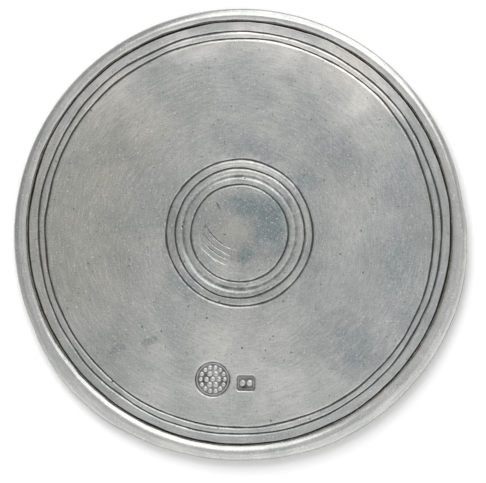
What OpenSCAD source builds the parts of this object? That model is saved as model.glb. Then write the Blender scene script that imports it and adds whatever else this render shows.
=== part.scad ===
// Wine bottle coaster: a turned pewter plate soldered into a half-round rim, on a cork pad.
// Millimetres, +Z up, origin on the table under the middle of the rim.

/* [Rim] */
// Outside diameter of the half-round rim
rim_d = 120; // [100:1:140]
// Radius of the rim's half-round section, outwards from its crown
bead_r = 2.2; // [1.9:0.05:2.4]
// Radius of the flatter flank that falls from the crown towards the plate
flank_r = 3.2; // [2.8:0.1:4]
// Width of the ledge that carries the plate, inwards from the solder seam
ledge_w = 2.2; // [1.4:0.1:2.8]
// Gap between the pewter foot and the table, which keeps the metal off the wood
foot_gap = 0.6; // [0.5:0.05:0.8]
// How far the plate's seat lies to the left of the rim's centre, as hand fitting leaves it
seat_left = 0.35; // [0:0.05:0.4]
// How far the plate's seat lies behind the rim's centre
seat_back = 0.45; // [0:0.05:0.6]

/* [Plate] */
// Distance from the rim's outside to the middle of the solder seam
seam_inset = 4; // [3.5:0.05:4.2]
// Thickness of the pewter plate
plate_t = 2.4; // [2.2:0.1:2.6]
// Width of the chamfer on the plate's top edge, which opens the dark groove at the rim
edge_chamfer_w = 0.5; // [0.3:0.05:0.8]
// Depth of that groove below the plate's face
edge_chamfer_h = 0.8; // [0.4:0.05:1.2]

/* [Turned lines near the rim] */
// Distance from the seam to the outer line
outer_line_inset = 3; // [2:0.05:4]
// Distance from the outer line to the inner one
line_pitch = 1.82; // [1.4:0.02:3]
// Width of each line at the face
line_w = 0.86; // [0.4:0.02:1]
// Depth of each line
line_h = 0.3; // [0.1:0.02:0.5]

/* [Turned rings in the middle] */
// Radius of the largest ring
ring_outer_r = 19.28; // [16:0.5:26]
// Radius of the second ring
ring_second_r = 17.1; // [14:0.1:18]
// Radius of the broad cove, the third ring
cove_r = 14.86; // [12.8:0.1:15.6]
// Radius of the smallest ring
ring_inner_r = 12.86; // [8:0.1:13]
// Width of the three narrow rings at the face
ring_w = 0.78; // [0.4:0.02:0.9]
// Depth of the three narrow rings
ring_h = 0.26; // [0.1:0.02:0.4]
// Width of the cove at the face
cove_w = 1.7; // [0.8:0.1:2]
// Depth of the cove
cove_h = 0.2; // [0.1:0.02:0.5]

/* [Struck marks] */
// Distance from the middle of the disc down to the round mark
round_mark_down = 38.5; // [34:0.5:42]
// Distance from the middle of the disc across to the round mark
round_mark_left = 7.1; // [5:0.1:10]
// Radius of the round mark
round_mark_r = 4.7; // [3.8:0.1:5]
// Distance from the middle of the disc down to the oblong mark
oblong_mark_down = 39.5; // [36:0.5:42]
// Distance from the middle of the disc across to the oblong mark
oblong_mark_right = 1.65; // [1.4:0.05:4]
// Width of the oblong mark
oblong_mark_w = 5; // [4:0.1:5.6]
// Height of the oblong mark
oblong_mark_h = 4.2; // [3.8:0.1:5]
// Corner radius of the oblong mark
oblong_mark_corner_r = 0.9; // [0.5:0.1:1.5]
// Depth to which both marks are struck
mark_depth = 0.26; // [0.15:0.01:0.4]

/* [Solder, film and cork] */
// Width of the solder seam between plate and rim
solder_w = 0.3; // [0.1:0.05:0.5]
// Thickness of the adhesive film
film_t = 0.1; // [0.05:0.05:0.3]
// Thickness of the cork pad
cork_t = 1.6; // [1.2:0.1:2.4]
// Gap all round between the cork pad and the ledge
cork_gap = 0.5; // [0.2:0.1:1]
// Distance by which the film stops short of the cork's edge
film_inset = 0.3; // [0.1:0.1:1]

/* [Hidden] */

// How far every cutter runs past the face that it cuts
overrun = 1;
$fn = 180;

// Heights
plate_z = cork_t + film_t;
face_z = plate_z + plate_t;
groove_root_z = face_z - edge_chamfer_h;
crown_z = foot_gap + 2 * bead_r;

// Radii, those of the rim from its own centre and all others from the seat's centre
crown_r = rim_d / 2 - bead_r;
seam_r = rim_d / 2 - seam_inset;
plate_r = seam_r - solder_w / 2;
rim_bore_r = seam_r + solder_w / 2;
ledge_r = rim_bore_r - ledge_w;
cork_r = ledge_r - cork_gap;
film_r = cork_r - film_inset;

// The narrow lines of both groups, each as [radius, width, depth]
outer_line_r = seam_r - outer_line_inset;
NARROW_LINES = [
    [outer_line_r, line_w, line_h],
    [outer_line_r - line_pitch, line_w, line_h],
    [ring_outer_r, ring_w, ring_h],
    [ring_second_r, ring_w, ring_h],
    [ring_inner_r, ring_w, ring_h],
];

// The raised parts of both marks stop this far below the plate's face
relief_drop = 0.04;
relief_h = mark_depth - relief_drop;

// Round mark: a raised hoop, a circle of pearls and a flower of one pearl and six round it
moat_w = 0.42;
hoop_w = 0.3;
hoop_r = round_mark_r - moat_w - hoop_w / 2;
pearl_r = 0.62;
pearl_gap = 0.2;
pearl_circle_r = hoop_r - hoop_w / 2 - pearl_gap - pearl_r;
pearl_count = 14;
flower_pearl_r = 0.74;
flower_circle_r = 1.58;
flower_count = 6;

// Oblong mark: a raised frame round two pearls
frame_inset = 0.45;
frame_w = 0.2;
pair_pearl_r = 0.86;
pair_pitch = 1.84;

// A V-shaped turned line that opens upwards at height z
module turned_line(line_r, width, depth, z) {
    rotate_extrude()
        polygon([
            [line_r, z - depth],
            [line_r + width / 2, z],
            [line_r + width / 2, z + overrun],
            [line_r - width / 2, z + overrun],
            [line_r - width / 2, z],
        ]);
}

// A cove: a round-bottomed turned line, cut by a circle through both lips and the root
module turned_cove(line_r, width, depth, z) {
    cutter_r = (width * width / 4 + depth * depth) / (2 * depth);
    rotate_extrude()
        translate([line_r, z - depth + cutter_r])
            circle(r = cutter_r);
}

// A flat rectangle with round corners, centred
module round_rectangle(width, height, corner_r) {
    square([width - 2 * corner_r, height], center = true);
    square([width, height - 2 * corner_r], center = true);
    for (side = [-1, 1], end = [-1, 1])
        translate([side * (width / 2 - corner_r), end * (height / 2 - corner_r)])
            circle(r = corner_r, $fn = 48);
}

// A pearl on the floor of a mark: the cap of a sphere, on a root that runs into the plate
module pearl(radius) {
    sphere_r = (radius * radius + relief_h * relief_h) / (2 * relief_h);
    intersection() {
        translate([0, 0, relief_h - sphere_r])
            sphere(r = sphere_r, $fn = 48);
        translate([0, 0, -overrun])
            cylinder(r = radius, h = overrun + relief_h, $fn = 48);
    }
}

// Pearls evenly spaced on a circle
module pearl_circle(count, circle_r, radius) {
    for (i = [0:count - 1])
        rotate([0, 0, i * 360 / count])
            translate([circle_r, 0, 0])
                pearl(radius);
}

// Everything inside the rim shares the seat's centre
module in_seat() {
    translate([-seat_left, seat_back, 0])
        children();
}

// Both marks place their shape at the given spot, with the mark's floor at zero height
module at_round_mark() {
    translate([-round_mark_left, -round_mark_down, face_z - mark_depth])
        children();
}

module at_oblong_mark() {
    translate([oblong_mark_right, -oblong_mark_down, face_z - mark_depth])
        children();
}

// The raised parts of the round mark
module round_mark_relief() {
    difference() {
        cylinder(r = hoop_r + hoop_w / 2, h = relief_h);
        translate([0, 0, -overrun])
            cylinder(r = hoop_r - hoop_w / 2, h = relief_h + 2 * overrun);
    }
    pearl_circle(pearl_count, pearl_circle_r, pearl_r);
    pearl_circle(flower_count, flower_circle_r, flower_pearl_r);
    pearl(flower_pearl_r);
}

// The raised parts of the oblong mark
module oblong_mark_relief() {
    frame_outer_w = oblong_mark_w - 2 * frame_inset;
    frame_outer_h = oblong_mark_h - 2 * frame_inset;
    frame_corner_r = oblong_mark_corner_r - frame_inset / 2;
    linear_extrude(height = relief_h)
        difference() {
            round_rectangle(frame_outer_w, frame_outer_h, frame_corner_r);
            round_rectangle(frame_outer_w - 2 * frame_w, frame_outer_h - 2 * frame_w,
                            frame_corner_r - frame_w);
        }
    for (side = [-1, 1])
        translate([side * pair_pitch / 2, 0, 0])
            pearl(pair_pearl_r);
}

// The turned plate: a disc with a chamfered edge, turned lines, a cove and two struck marks
module plate() {
    color([0.66, 0.68, 0.67]) in_seat() {
        difference() {
            union() {
                translate([0, 0, plate_z])
                    cylinder(r = plate_r, h = plate_t - edge_chamfer_h);
                translate([0, 0, groove_root_z])
                    cylinder(r1 = plate_r, r2 = plate_r - edge_chamfer_w, h = edge_chamfer_h);
            }
            for (line = NARROW_LINES)
                turned_line(line[0], line[1], line[2], face_z);
            turned_cove(cove_r, cove_w, cove_h, face_z);
            at_round_mark()
                cylinder(r = round_mark_r, h = mark_depth + overrun);
            at_oblong_mark()
                linear_extrude(height = mark_depth + overrun)
                    round_rectangle(oblong_mark_w, oblong_mark_h, oblong_mark_corner_r);
        }
        at_round_mark() round_mark_relief();
        at_oblong_mark() oblong_mark_relief();
    }
}

// The rim's section: round outside its crown, flatter inside, on a flat foot
module rim_section() {
    translate([crown_r, crown_z - bead_r])
        circle(r = bead_r);
    intersection() {
        translate([crown_r, crown_z - flank_r])
            circle(r = flank_r);
        translate([crown_r - flank_r, foot_gap])
            square([flank_r, crown_z - foot_gap]);
    }
    translate([0, foot_gap])
        square([crown_r, plate_z - foot_gap]);
}

// The rim, bored for the plate down to the ledge that carries it
module rim_ring() {
    color([0.72, 0.73, 0.72])
        difference() {
            rotate_extrude()
                rim_section();
            in_seat()
                translate([0, 0, plate_z])
                    cylinder(r = rim_bore_r, h = crown_z - plate_z + overrun);
            in_seat()
                translate([0, 0, foot_gap - overrun])
                    cylinder(r = ledge_r, h = plate_z - foot_gap + 2 * overrun);
        }
}

// The solder that fills the joint from the ledge up to the root of the dark groove
module solder_seam() {
    color([0.5, 0.51, 0.5]) in_seat()
        rotate_extrude()
            translate([plate_r, plate_z])
                square([solder_w, plate_t - edge_chamfer_h]);
}

// The film that holds the cork to the plate
module adhesive_film() {
    color([0.93, 0.9, 0.78]) in_seat()
        translate([0, 0, cork_t])
            cylinder(r = film_r, h = film_t);
}

// The cork pad that the coaster stands on
module cork_pad() {
    color([0.72, 0.53, 0.36]) in_seat()
        cylinder(r = cork_r, h = cork_t);
}

plate();
rim_ring();
solder_seam();
adhesive_film();
cork_pad();
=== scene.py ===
# %% [markdown]
# # A pewter wine bottle coaster
#
# The real coaster is a flat disc of cast pewter that a turner has skimmed and lined on a lathe, set in
# a low rounded rim, rubbed by hand and left to darken, with a cork pad under it. This lesson dresses a
# finished CAD model of it. The CAD model gives every place and size. Here each piece gets the surface
# that tools, hands and years have left on it.
#
# The first step loads that model as a fixed frame, which is only measured and never moved.

# %% Load the frame
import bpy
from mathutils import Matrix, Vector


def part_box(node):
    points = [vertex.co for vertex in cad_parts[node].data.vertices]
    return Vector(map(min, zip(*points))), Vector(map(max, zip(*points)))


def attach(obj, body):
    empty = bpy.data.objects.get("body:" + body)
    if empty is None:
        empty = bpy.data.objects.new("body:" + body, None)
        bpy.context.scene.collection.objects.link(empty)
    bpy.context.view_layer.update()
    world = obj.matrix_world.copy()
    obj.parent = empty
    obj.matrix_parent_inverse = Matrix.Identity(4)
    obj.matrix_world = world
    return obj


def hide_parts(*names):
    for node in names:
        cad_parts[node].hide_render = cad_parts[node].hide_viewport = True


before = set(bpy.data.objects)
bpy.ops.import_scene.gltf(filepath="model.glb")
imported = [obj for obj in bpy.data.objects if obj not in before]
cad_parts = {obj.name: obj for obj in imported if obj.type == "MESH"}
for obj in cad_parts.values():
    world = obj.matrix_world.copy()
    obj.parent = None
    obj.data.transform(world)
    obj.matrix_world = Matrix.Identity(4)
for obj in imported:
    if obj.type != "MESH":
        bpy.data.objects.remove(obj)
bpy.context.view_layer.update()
print("CAD nodes:", sorted(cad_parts))

# %% [markdown]
# ## Measure the frame
#
# Everything on this object is round, so each CAD node is known by a centre, a radius and two heights.
# They are read from the node's box and not typed again, so the looks follow the CAD model if it
# changes. Blender works in metres, and a coaster is thought of in millimetres, so one constant, MM,
# turns one into the other. The rim has its own centre. The plate and all that is turned on it share
# the centre of the seat, which hand fitting has left a little up and to the left.

# %% Centres, radii and heights
import math

import bpy
import numpy as np
from mathutils import Matrix, Vector

MM = 0.001


def round_node(node):
    """Centre, radius, bottom and top of a round CAD node, in metres."""
    low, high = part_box(node)
    return ((low.x + high.x) / 2, (low.y + high.y) / 2), (high.x - low.x) / 2, low.z, high.z


RIM_CENTRE, RIM_R, FOOT_Z, CROWN_Z = round_node("rim_ring")
SEAT, PLATE_R, PLATE_Z, FACE_Z = round_node("plate")
_, BORE_R, _, ROOT_Z = round_node("solder_seam")
_, FILM_R, FILM_Z, _ = round_node("adhesive_film")
_, CORK_R, CORK_Z, CORK_TOP_Z = round_node("cork_pad")
print(f"rim {RIM_R / MM:.2f} mm, plate {PLATE_R / MM:.2f} mm, cork {CORK_R / MM:.2f} mm in radius")
print(f"seat centre {SEAT[0] / MM:.2f}, {SEAT[1] / MM:.2f} mm; face {FACE_Z / MM:.2f} mm above the table")

# %% [markdown]
# ## A camera straight overhead
#
# The photograph looks straight down, with the marks at the bottom. A long lens far above gives the same
# flat view: every circle stays a circle. The lens is worked out from two facts: how far up the camera
# hangs, and how much of the table the picture takes in.

# %% Camera
CAMERA_RISE_MM = 900
VIEW_WIDTH_MM = 127.9
SENSOR_MM = 36
AIM_MM = (0.90, -2.24)

camera = bpy.data.objects.new("camera", bpy.data.cameras.new("camera"))
camera.data.sensor_width = SENSOR_MM
camera.data.sensor_fit = "HORIZONTAL"
camera.data.lens = SENSOR_MM * CAMERA_RISE_MM / VIEW_WIDTH_MM
camera.location = (SEAT[0] + AIM_MM[0] * MM, SEAT[1] + AIM_MM[1] * MM, FACE_Z + CAMERA_RISE_MM * MM)
scene = bpy.context.scene
scene.collection.objects.link(camera)
scene.camera = camera
scene.view_settings.view_transform = "Standard"
print(f"lens {camera.data.lens:.0f} mm")

# %% [markdown]
# ## Helpers for nodes
#
# Shapes and finishes below are both node trees. One small function adds a node: its settings are
# keywords, and each of its inputs is given either a value or the node that feeds it. A second one
# starts a Geometry Nodes tree with named inputs, a third ends it, and a fourth runs it and keeps the
# result as a plain mesh, because the finished model holds no live modifiers.

# %% Node helpers
def add_node(tree, kind, inputs=None, **settings):
    """Adds a node. Each input takes a value, a node (its first output) or one of a node's outputs."""
    node = tree.nodes.new(kind)
    for name, value in settings.items():
        setattr(node, name, value)
    for key, value in (inputs or {}).items():
        if isinstance(value, bpy.types.Node):
            value = value.outputs[0]
        if isinstance(value, bpy.types.NodeSocket):
            tree.links.new(value, node.inputs[key])
        else:
            node.inputs[key].default_value = value
    return node


def new_tree(name, inputs):
    """Starts a Geometry Nodes tree with these named inputs, each with the kind of its socket."""
    tree = bpy.data.node_groups.new(name, "GeometryNodeTree")
    for label, kind in inputs.items():
        tree.interface.new_socket(label, in_out="INPUT", socket_type="NodeSocket" + kind)
    tree.interface.new_socket("Geometry", in_out="OUTPUT", socket_type="NodeSocketGeometry")
    return tree, tree.nodes.new("NodeGroupInput").outputs


def end_tree(tree, geometry, material):
    """Ends a tree: real geometry, smooth faces, one material."""
    real = add_node(tree, "GeometryNodeRealizeInstances", {"Geometry": geometry})
    smooth = add_node(tree, "GeometryNodeSetShadeSmooth", {"Geometry": real})
    dressed = add_node(tree, "GeometryNodeSetMaterial", {"Geometry": smooth, "Material": material})
    add_node(tree, "NodeGroupOutput", {"Geometry": dressed})


def bake(piece):
    """Turns a piece's modifiers into a plain mesh."""
    evaluated = piece.evaluated_get(bpy.context.evaluated_depsgraph_get())
    mesh = bpy.data.meshes.new_from_object(evaluated)
    piece.modifiers.clear()
    piece.data = mesh
    mesh.name = piece.name
    return piece


def run_tree(name, tree, values):
    """Runs a tree with these input values and returns a plain mesh object at the origin."""
    piece = bpy.data.objects.new(name, bpy.data.meshes.new(name))
    scene.collection.objects.link(piece)
    modifier = piece.modifiers.new("tree", "NODES")
    modifier.node_group = tree
    for item in tree.interface.items_tree:
        if item.in_out == "INPUT":
            modifier[item.identifier] = values[item.name]
    return bake(piece)


def cut(piece, cutter):
    """Cuts one piece with another, and removes the cutter."""
    modifier = piece.modifiers.new("cut", "BOOLEAN")
    modifier.operation = "DIFFERENCE"
    modifier.solver = "MANIFOLD"
    modifier.object = cutter
    bake(piece)
    bpy.data.objects.remove(cutter)
    return piece


def triangles(piece):
    """How many triangles a piece has."""
    return sum(len(face.vertices) - 2 for face in piece.data.polygons)


# %% [markdown]
# ## Colours
#
# A colour is written as the sRGB hex value that a picture editor shows, and one function turns it into
# the linear values that light is reckoned in.

# %% Hex colours
def linear(hex_colour):
    """An sRGB hex colour as linear RGBA."""
    shares = [int(hex_colour[i:i + 2], 16) / 255 for i in (1, 3, 5)]
    return (*[s / 12.92 if s <= 0.04045 else ((s + 0.055) / 1.055) ** 2.4 for s in shares], 1.0)


def new_material(name):
    """An empty node material with a Principled shader; returns its tree and the shader too."""
    material = bpy.data.materials.new(name)
    material.use_nodes = True
    tree = material.node_tree
    tree.nodes.clear()
    shader = tree.nodes.new("ShaderNodeBsdfPrincipled")
    add_node(tree, "ShaderNodeOutputMaterial", {"Surface": shader})
    return material, tree, shader


print("half grey in linear light:", round(linear("#808080")[0], 3))

# %% [markdown]
# ## Pewter: turning marks and scratches
#
# Pewter is nearly all tin, so it is a true metal, but a soft one: rubbed by hand it goes satin and not
# mirror bright. Three things tell the eye that it was turned and then used: fine lines that run round
# it, because the tool did, short scratches that cross them, because hands and bottles did, and cloudy
# patches of oxide. Each gets a small function of its own, and a last one puts them together.
#
# The turning marks are noise that changes fast along the radius and slowly round the disc. They are
# really some hundredths of a millimetre apart, too fine to show, so they are drawn coarser. A scratch
# is noise that is drawn out long and thin and kept only where it peaks.

# %% Turning marks and scratches
TURNING_PITCH_MM = 0.45
STREAKS_PER_RADIAN = 13
NOISE_ROUGHNESS = 0.55
# Scratches as (turn in degrees, width in mm, length in mm)
SCRATCHES = ((24, 0.30, 11), (-38, 0.34, 9), (83, 0.28, 13))


def turning_marks(tree, flat, radius):
    """Streaks round the seat, from a point's place on the face and its distance from the centre."""
    around = add_node(tree, "ShaderNodeVectorMath", {0: flat}, operation="NORMALIZE")
    ring_part = add_node(tree, "ShaderNodeVectorMath",
                         {0: around, 1: (STREAKS_PER_RADIAN, STREAKS_PER_RADIAN, 0)}, operation="MULTIPLY")
    pitches = add_node(tree, "ShaderNodeMath", {0: radius, 1: TURNING_PITCH_MM * MM}, operation="DIVIDE")
    ring_place = add_node(tree, "ShaderNodeVectorMath",
                          {0: ring_part, 1: add_node(tree, "ShaderNodeCombineXYZ", {2: pitches})},
                          operation="ADD")
    return add_node(tree, "ShaderNodeTexNoise",
                    {"Vector": ring_place, "Scale": 1.0, "Detail": 3.0, "Roughness": NOISE_ROUGHNESS})


def rubbing_scratches(tree, place):
    """Thin lines in a few directions, added up."""
    total = 0.0
    for turn, width_mm, length_mm in SCRATCHES:
        drawn = add_node(tree, "ShaderNodeMapping",
                         {"Vector": place, "Rotation": (0, 0, math.radians(turn)),
                          "Scale": (1, width_mm / length_mm, 1)})
        strands = add_node(tree, "ShaderNodeTexNoise",
                           {"Vector": drawn, "Scale": 1 / (width_mm * MM), "Detail": 1.0,
                            "Roughness": NOISE_ROUGHNESS})
        peaks = add_node(tree, "ShaderNodeMapRange", {"Value": strands, "From Min": 0.66, "From Max": 0.78})
        total = add_node(tree, "ShaderNodeMath", {0: total, 1: peaks}, operation="ADD")
    return total


print(f"turning marks every {TURNING_PITCH_MM} mm, scratches in {len(SCRATCHES)} directions")

# %% [markdown]
# ## Pewter: oxide, bared metal, and painted light and shade on the ring band
#
# Tin darkens unevenly in air. Some of its oxide is a dull grey, some bluish and some brownish, and some
# places are bared again by rubbing. Large clouds of noise give each kind a faint share everywhere. The
# patches that the eye remembers are placed one by one on top, as soft ovals, and a finer noise frays their
# edges by moving the point that is asked about.

# %% Patches
CLOUD_MM = 13
# Noise of this size moves the edge of a patch by up to half of the second value each way
FRAY_SIZE_MM = 3.5
FRAY_MM = 9
# For each kind, the value of the clouds where it starts, where it is full, and its share there
CLOUD_SHARES = {"rubbed_and_lit": (0.48, 0.28, 0.4), "dull_and_shaded": (0.45, 0.7, 0.3), "warm": (0.4, 0.3, 0.15),
                "patina": (0.5, 0.75, 0.25)}
# Patches as (right, up, half width, half height, turn, share), in mm and degrees from the seat's
# centre. Dull is grey oxide, warm is brownish oxide, patina is bluish oxide and rubbed is bared metal,
# but four patches round the ring band are painted light and shade: lighter above and to the right, where
# its lands lean towards the bright panel, and darker below and to the left.
PLATE_PATCHES = {
    "dull_and_shaded": (
        (0, 0, 38, 38, 0, 0.38), (0, 0, 15, 15, 0, 0.18), (-51, 0, 10, 28, 0, 0.3),
        (-36, -8, 16, 24, 10, 0.1), (-35, -36, 14, 10, 45, 0.25), (-14, 8, 9, 8, 0, 0.15),
        (50, 3, 7, 18, 0, 0.45), (25, -25, 9, 7, 0, 0.2), (25, 15, 12, 9, -40, 0.2),
        # The last two dull patches below are painted shade on the ring band's left and lower side, where
        # its lands lean away from the bright panel.
        (8, 3, 7, 7, 0, 0.5), (-17.5, -1, 3, 10, 0, 0.55), (0, -16.5, 12, 3.5, 0, 0.6)),
    "warm": (
        (-44, 0, 26, 46, 0, 0.42), (-26, 28, 20, 16, 40, 0.25), (-3, -2, 8, 9, 0, 0.25)),
    "patina": (
        (4, 7, 10, 4.2, -8, 1.0), (8.5, 0.5, 5.5, 6, 0, 0.9), (1, -5.5, 3, 2.8, 0, 0.9),
        (6, 21, 9, 4, -15, 0.5), (17, 14, 6, 5, -50, 0.55), (-15, -13.5, 6, 3.5, -30, 0.5),
        (18, -9, 4, 6, 0, 0.3), (41, 14, 7, 13, 10, 0.35), (44, -14, 9, 18, 0, 0.42),
        (30, -30, 12, 8, -40, 0.4), (24, 22, 10, 6, -30, 0.3), (0, -40, 32, 17, 0, 0.16),
        (-32.5, -30, 2.4, 1.8, 0, 0.5), (-23.6, -28.4, 3.2, 1.6, 10, 0.5)),
    "rubbed_and_lit": (
        (22, 44, 26, 8, -25, 0.9), (-10, 49, 16, 5, 10, 0.8), (0, -38, 26, 14, 0, 0.6),
        (0, -27, 14, 7, 0, 0.35), (33, 32, 10, 9, 0, 0.45), (26, 4, 9, 12, 0, 0.15),
        (-24, 28, 9, 8, 0, 0.35), (-34, 36, 12, 8, 45, 0.5), (-2, 0, 6, 4, -20, 0.6),
        # The second and the last patches below are painted light on the ring band's upper and right side,
        # where its lands lean towards the bright panel.
        (0, -9.5, 9, 3.5, 0, 0.95), (2, 17, 11, 4, 0, 0.95), (16, 0, 3.5, 7, 0, 0.4))}


def oxide_shares(tree, place, patches):
    """The share of each kind of oxide, and of bared metal, at a place."""
    clouds = add_node(tree, "ShaderNodeTexNoise",
                      {"Vector": place, "Scale": 1 / (CLOUD_MM * MM), "Detail": 4.0, "Distortion": 0.5,
                       "Roughness": NOISE_ROUGHNESS})
    fray = add_node(tree, "ShaderNodeTexNoise",
                    {"Vector": place, "Scale": 1 / (FRAY_SIZE_MM * MM), "Detail": 4.0})
    frayed = add_node(tree, "ShaderNodeVectorMath",
                      {0: fray.outputs["Color"], 1: (FRAY_MM * MM, FRAY_MM * MM, 0), 2: place},
                      operation="MULTIPLY_ADD")
    shares = {}
    for kind, (start, full, most) in CLOUD_SHARES.items():
        total = add_node(tree, "ShaderNodeMapRange",
                         {"Value": clouds, "From Min": start, "From Max": full, "To Max": most})
        for x, y, half_w, half_h, turn, share in patches.get(kind, ()):
            centre = ((x + FRAY_MM / 2) * MM, (y + FRAY_MM / 2) * MM, 0)
            local = add_node(tree, "ShaderNodeMapping",
                             {"Vector": frayed, "Location": centre, "Rotation": (0, 0, math.radians(turn)),
                              "Scale": (half_w * MM, half_h * MM, 1)}, vector_type="TEXTURE")
            reach = add_node(tree, "ShaderNodeVectorMath", {0: local}, operation="LENGTH")
            patch = add_node(tree, "ShaderNodeMapRange",
                             {"Value": reach.outputs["Value"], "From Min": 1.15, "From Max": 0.35,
                              "To Max": share})
            total = add_node(tree, "ShaderNodeMath", {0: total, 1: patch}, operation="ADD")
        shares[kind] = total
    return shares


print("patches:", {kind: len(rows) for kind, rows in PLATE_PATCHES.items()})

# %% [markdown]
# ## Pewter: dirt in the lines
#
# Dirt stays where no cloth reaches, so it is worked out from the height below the plate's face: it
# starts at one depth and covers all at another. A slow noise shifts both, because it lies thicker in
# some places than in others.

# %% Dirt
GRIME_SIZE_MM = 2.5
GRIME_MM = 0.16
REACH_FADE_MM = 0.1


def dirt_by_depth(tree, place, radius, tarnish, dirt_reach):
    """The share of dirt at a place: none above the first depth, all below the second, in mm."""
    height = add_node(tree, "ShaderNodeSeparateXYZ", {0: place}).outputs[2]
    shift = add_node(tree, "ShaderNodeTexNoise",
                     {"Vector": place, "Scale": 1 / (GRIME_SIZE_MM * MM), "Detail": 2.0,
                      "Roughness": NOISE_ROUGHNESS})
    grime = add_node(tree, "ShaderNodeMath", {0: shift, 1: GRIME_MM * MM, 2: height},
                     operation="MULTIPLY_ADD")
    starts, covers = [(GRIME_MM / 2 - depth) * MM for depth in tarnish]
    deep = add_node(tree, "ShaderNodeMapRange", {"Value": grime, "From Min": starts, "From Max": covers})
    within = add_node(tree, "ShaderNodeMapRange",
                      {"Value": radius, "From Min": dirt_reach,
                       "From Max": dirt_reach - REACH_FADE_MM * MM})
    return add_node(tree, "ShaderNodeMath", {0: deep, 1: within}, operation="MULTIPLY")


print(f"dirt lies up to {GRIME_MM / 2:.2f} mm higher or lower than its depth says")

# %% [markdown]
# ## Pewter put together
#
# The colour is built as a restorer would describe it: the middle grey of the metal, then layer on
# layer of oxide, bared metal, turning marks, speckle, scratches and dirt. Dirt isn't metal, so it stays
# dark under any light, and tarnished metal is rougher than rubbed metal. The plate and the rim are the
# same alloy. The rim is brighter, because it is handled more, and its dirt lies only at the bore.

# %% Pewter
GRAIN_MM = 0.9
SPECKLE_MM = 0.34
DIRT_SPOT_MM = 0.6
DENT_MM = 4.5


def pewter(name, tones, rough, patches, tarnish, dirt_reach, grain):
    """Pewter turned about the seat. Tones: middle, rubbed (also painted light), dull (also painted shade),
    warm, patina, dirt.

    Rough: how rough it is where rubbed and where tarnished. Tarnish: the depths below the face, in mm,
    where dirt starts and where it covers all. It only settles within the dirt's reach, a radius.
    Grain: how strongly the speckle and the mottle show.
    """
    material, tree, shader = new_material(name)
    middle, rubbed_and_lit, dull_and_shaded, warm, patina, dirt = [linear(tone) for tone in tones]
    object_place = add_node(tree, "ShaderNodeTexCoord").outputs["Object"]
    place = add_node(tree, "ShaderNodeMapping",
                     {"Vector": object_place, "Location": (-SEAT[0], -SEAT[1], -FACE_Z)})
    flat = add_node(tree, "ShaderNodeVectorMath", {0: place, 1: (1, 1, 0)}, operation="MULTIPLY")
    radius = add_node(tree, "ShaderNodeVectorMath", {0: flat}, operation="LENGTH").outputs["Value"]
    mottle, speckle, spots, dents = [
        add_node(tree, "ShaderNodeTexNoise", {"Vector": place, "Scale": 1 / (size_mm * MM),
                                              "Detail": detail, "Roughness": NOISE_ROUGHNESS})
        for size_mm, detail in ((GRAIN_MM, 3.0), (SPECKLE_MM, 2.0), (DIRT_SPOT_MM, 1.0), (DENT_MM, 2.0))]
    rings = turning_marks(tree, flat, radius)
    scratches = rubbing_scratches(tree, place)
    shares = oxide_shares(tree, place, patches)
    dirt_share = dirt_by_depth(tree, place, radius, tarnish, dirt_reach)
    mottling = add_node(tree, "ShaderNodeMapRange",
                        {"Value": mottle, "From Min": 0.3, "From Max": 0.7, "To Min": 0.55, "To Max": 1.35})
    dark = add_node(tree, "ShaderNodeMath", {0: shares["patina"], 1: mottling}, operation="MULTIPLY")

    # Layers as (pattern, its value where the layer starts, its value where it is full, most, colour)
    tone = middle
    for pattern, start, full, most, layer in (
            (shares["rubbed_and_lit"], 0, 1, 1, rubbed_and_lit), (shares["dull_and_shaded"], 0, 1, 1, dull_and_shaded),
            (shares["warm"], 0, 1, 1, warm), (dark, 0, 1, 1, patina),
            (rings, 0.48, 0.75, 0.26, rubbed_and_lit), (rings, 0.52, 0.25, 0.32, dull_and_shaded),
            (speckle, 0.5, 0.75, 0.34 * grain, rubbed_and_lit), (speckle, 0.5, 0.25, 0.42 * grain, dull_and_shaded),
            (scratches, 0, 1, 0.15, rubbed_and_lit), (spots, 0.32, 0.23, 0.7 * grain, dirt),
            (spots, 0.67, 0.77, 0.9, rubbed_and_lit), (dirt_share, 0, 1, 1, dirt)):
        share = add_node(tree, "ShaderNodeMapRange",
                         {"Value": pattern, "From Min": start, "From Max": full, "To Max": most})
        tone = add_node(tree, "ShaderNodeMix", {0: share, 6: tone, 7: layer},
                        data_type="RGBA").outputs["Result"]
    metal = add_node(tree, "ShaderNodeMapRange",
                     {"Value": dirt_share, "From Min": 0.4, "From Max": 1.0, "To Min": 1.0, "To Max": 0.25})
    tarnished = add_node(tree, "ShaderNodeMath", {0: dark, 1: dirt_share}, operation="ADD")
    roughness = add_node(tree, "ShaderNodeMapRange",
                         {"Value": tarnished, "To Min": rough[0], "To Max": rough[1]})

    # Relief too fine to be in the mesh, as (strength, height in mm, pattern)
    below = {}
    for strength, height_mm, pattern in (
            (0.5, 0.012, rings), (0.5, 0.045 * grain, mottle), (0.6, -0.02, scratches), (0.7, 0.05, dents)):
        relief = add_node(tree, "ShaderNodeBump", {0: strength, 1: height_mm * MM, 3: pattern, **below})
        below = {4: relief}
    for socket, source in (("Base Color", tone), ("Metallic", metal.outputs[0]),
                           ("Roughness", roughness.outputs[0]), ("Normal", relief.outputs[0])):
        tree.links.new(source, shader.inputs[socket])
    return material


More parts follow.
